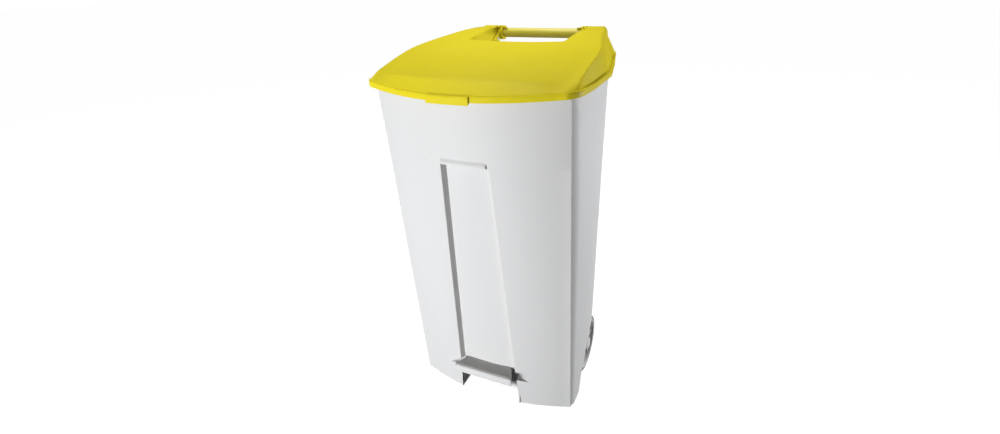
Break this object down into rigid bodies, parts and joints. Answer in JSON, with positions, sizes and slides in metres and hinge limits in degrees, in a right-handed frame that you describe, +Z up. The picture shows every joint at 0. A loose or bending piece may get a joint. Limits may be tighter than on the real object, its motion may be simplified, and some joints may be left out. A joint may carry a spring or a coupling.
{
  "type": "pedal bin",
  "caption": "Tall wheeled bin with a bowed white body, a domed yellow lid hinged on a rear handle tube, and a front foot pedal that lifts the lid through rods behind the body.",
  "frame": {"origin": "on the floor, at the middle of the bin's footprint box", "axes": "+Z up, the front with the pedal faces -Y, +X to the right as seen from the front"},
  "size_m": [0.472, 0.54, 0.905],
  "materials": {
    "white_plastic": "satin moulded plastic",
    "yellow_plastic": "satin moulded plastic",
    "yellow_tube": "smooth plastic sleeve",
    "grey_plastic": "moulded plastic",
    "black_plastic": "moulded plastic",
    "tyre": "solid rubber",
    "grey_rubber": "ribbed rubber",
    "black_rubber": "soft rubber",
    "zinc_screws": "zinc plated",
    "steel": "drawn steel"
  },
  "bodies": {
    "bin": {"body_shell": "white_plastic", "axle_block_left": "grey_plastic", "axle_block_right": "grey_plastic", "axle_block_screws": "zinc_screws", "wheel_axle": "steel", "axle_washers": "zinc_screws", "handle_bracket_left": "white_plastic", "handle_bracket_right": "white_plastic", "bracket_screws": "zinc_screws", "handle_tube": "yellow_tube", "tube_cap_left": "black_plastic", "tube_cap_right": "black_plastic", "rod_guide_upper_left": "grey_plastic", "rod_guide_upper_right": "grey_plastic", "rod_guide_lower_left": "grey_plastic", "rod_guide_lower_right": "grey_plastic", "guide_screws": "zinc_screws"},
    "lid": {"lid_shell": "yellow_plastic", "hinge_collar_left": "yellow_plastic", "hinge_collar_right": "yellow_plastic", "collar_screws": "zinc_screws", "lid_buffer_left": "black_rubber", "lid_buffer_right": "black_rubber"},
    "lift": {"lift_frame": "steel"},
    "pedal": {"pedal_tread": "white_plastic", "pedal_pad": "grey_rubber", "pedal_arm_left": "steel", "pedal_arm_right": "steel", "pedal_bush_left": "black_plastic", "pedal_bush_right": "black_plastic", "pedal_spacer": "grey_plastic", "pedal_bolts": "zinc_screws"},
    "wheel_left": {"wheel_disc_left": "white_plastic", "tyre_left": "tyre", "hub_cap_left": "white_plastic"},
    "wheel_right": {"wheel_disc_right": "white_plastic", "tyre_right": "tyre", "hub_cap_right": "white_plastic"}
  },
  "joints": [
    {"name": "lid_hinge", "type": "hinge", "parent": "bin", "child": "lid", "pos_m": [0, 0.252, 0.887], "axis": [-1, 0, 0], "range_deg": [0, 75]},
    {"name": "lift_slide", "type": "slide", "parent": "bin", "child": "lift", "axis": [0, 0, 1], "range_m": [0, 0.0442]},
    {"name": "pedal_hinge", "type": "hinge", "parent": "bin", "child": "pedal", "pos_m": [0, 0.055, 0.08], "axis": [1, 0, 0], "range_deg": [0, 15.1]},
    {"name": "wheel_left_spin", "type": "hinge", "parent": "bin", "child": "wheel_left", "pos_m": [-0.191, 0.055, 0.08], "axis": [1, 0, 0], "continuous": true},
    {"name": "wheel_right_spin", "type": "hinge", "parent": "bin", "child": "wheel_right", "pos_m": [0.191, 0.055, 0.08], "axis": [1, 0, 0], "continuous": true}
  ],
  "couplings": [
    {"joint": "lift_slide", "follows": "lid_hinge", "m_per_rad": 0.0336},
    {"joint": "pedal_hinge", "follows": "lid_hinge", "ratio": 0.20005}
  ]
}
